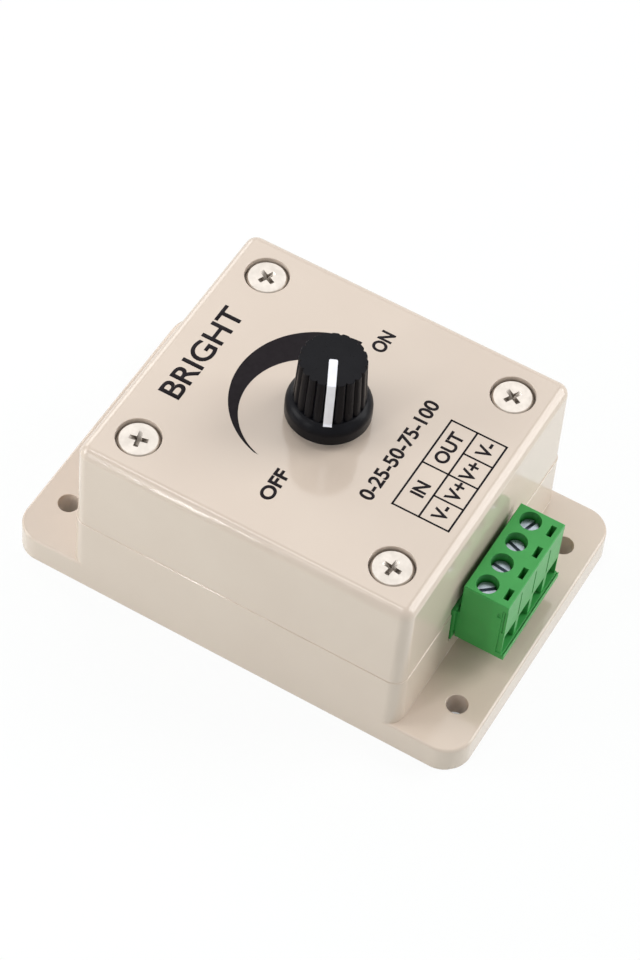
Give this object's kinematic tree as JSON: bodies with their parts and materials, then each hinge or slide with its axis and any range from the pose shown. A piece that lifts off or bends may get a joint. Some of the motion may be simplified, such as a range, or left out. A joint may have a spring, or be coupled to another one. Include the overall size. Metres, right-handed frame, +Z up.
{
  "type": "led dimmer",
  "caption": "Rotary dimmer for LED strips: flanged plastic case screwed together in two halves, ribbed pointer knob on top and a pluggable screw terminal block at one end.",
  "frame": {"origin": "middle of the flange's outline on its underside, the plane that the dimmer is mounted on", "axes": "+X along the length towards the terminals, +Y across the width, +Z up along the knob's axis"},
  "size_m": [0.0886, 0.0586, 0.0515],
  "materials": {
    "case_plastic": "warm beige moulded ABS, glossy",
    "knob_plastic": "black moulded plastic, satin",
    "pointer_plastic": "white inlay",
    "nickel_steel": "bright nickel-plated steel",
    "zinc_steel": "zinc-plated steel",
    "terminal_plastic": "green polyamide",
    "contact_metal": "tinned brass",
    "bushing_metal": "turned brass",
    "shaft_metal": "turned aluminium",
    "board_laminate": "glass-fibre laminate with green resist",
    "package_black": "moulded epoxy",
    "resistor_body": "lacquered",
    "disc_body": "dipped ceramic",
    "can_sleeve": "sleeved aluminium can",
    "wafer_board": "phenolic sheet",
    "carbon_film": "printed carbon",
    "rotor_plastic": "moulded plastic",
    "wire_cover": "insulated wire"
  },
  "bodies": {
    "case": {"base_tray": "case_plastic", "top_cover": "case_plastic", "cover_screws": "nickel_steel", "circuit_board": "board_laminate", "board_screws": "zinc_steel", "mosfet": "package_black", "diode": "package_black", "timer_chip": "package_black", "capacitor": "can_sleeve", "resistors": "resistor_body", "ceramic_capacitors": "disc_body", "header_housing": "terminal_plastic", "header_pins": "contact_metal", "pot_bushing": "bushing_metal", "pot_washer": "zinc_steel", "pot_nut": "zinc_steel", "pot_wafer": "wafer_board", "pot_track": "carbon_film", "pot_lugs": "contact_metal", "pot_leads": "wire_cover", "pot_can": "zinc_steel"},
    "knob": {"knob": "knob_plastic", "knob_pointer": "pointer_plastic", "pot_shaft": "shaft_metal", "pot_rotor": "rotor_plastic", "pot_wiper": "contact_metal"},
    "plug": {"plug_housing": "terminal_plastic", "plug_contacts": "contact_metal"},
    "clamp_screw_1": {"clamp_screw_1": "zinc_steel"},
    "clamp_cage_1": {"clamp_cage_1": "zinc_steel"},
    "clamp_screw_2": {"clamp_screw_2": "zinc_steel"},
    "clamp_cage_2": {"clamp_cage_2": "zinc_steel"},
    "clamp_screw_3": {"clamp_screw_3": "zinc_steel"},
    "clamp_cage_3": {"clamp_cage_3": "zinc_steel"},
    "clamp_screw_4": {"clamp_screw_4": "zinc_steel"},
    "clamp_cage_4": {"clamp_cage_4": "zinc_steel"}
  },
  "joints": [
    {"name": "knob_turn", "type": "hinge", "parent": "case", "child": "knob", "pos_m": [0, 0, 0.0378], "axis": [0, 0, -1], "range_deg": [-30, 270]},
    {"name": "plug_pull", "type": "slide", "parent": "case", "child": "plug", "axis": [1, 0, 0], "range_m": [0, 0.009]},
    {"name": "clamp_turn_1", "type": "hinge", "parent": "plug", "child": "clamp_screw_1", "pos_m": [0.0359, -0.00762, 0.0228], "axis": [0, 0, -1], "range_deg": [0, 1404.5]},
    {"name": "clamp_lift_1", "type": "slide", "parent": "plug", "child": "clamp_cage_1", "axis": [0, 0, 1], "range_m": [0, 0.00195]},
    {"name": "clamp_turn_2", "type": "hinge", "parent": "plug", "child": "clamp_screw_2", "pos_m": [0.0359, -0.00254, 0.0228], "axis": [0, 0, -1], "range_deg": [0, 1404.5]},
    {"name": "clamp_lift_2", "type": "slide", "parent": "plug", "child": "clamp_cage_2", "axis": [0, 0, 1], "range_m": [0, 0.00195]},
    {"name": "clamp_turn_3", "type": "hinge", "parent": "plug", "child": "clamp_screw_3", "pos_m": [0.0359, 0.00254, 0.0228], "axis": [0, 0, -1], "range_deg": [0, 1404.5]},
    {"name": "clamp_lift_3", "type": "slide", "parent": "plug", "child": "clamp_cage_3", "axis": [0, 0, 1], "range_m": [0, 0.00195]},
    {"name": "clamp_turn_4", "type": "hinge", "parent": "plug", "child": "clamp_screw_4", "pos_m": [0.0359, 0.00762, 0.0228], "axis": [0, 0, -1], "range_deg": [0, 1404.5]},
    {"name": "clamp_lift_4", "type": "slide", "parent": "plug", "child": "clamp_cage_4", "axis": [0, 0, 1], "range_m": [0, 0.00195]}
  ],
  "couplings": [
    {"joint": "clamp_turn_1", "follows": "clamp_lift_1", "rad_per_m": 12566},
    {"joint": "clamp_turn_2", "follows": "clamp_lift_2", "rad_per_m": 12566},
    {"joint": "clamp_turn_3", "follows": "clamp_lift_3", "rad_per_m": 12566},
    {"joint": "clamp_turn_4", "follows": "clamp_lift_4", "rad_per_m": 12566}
  ]
}
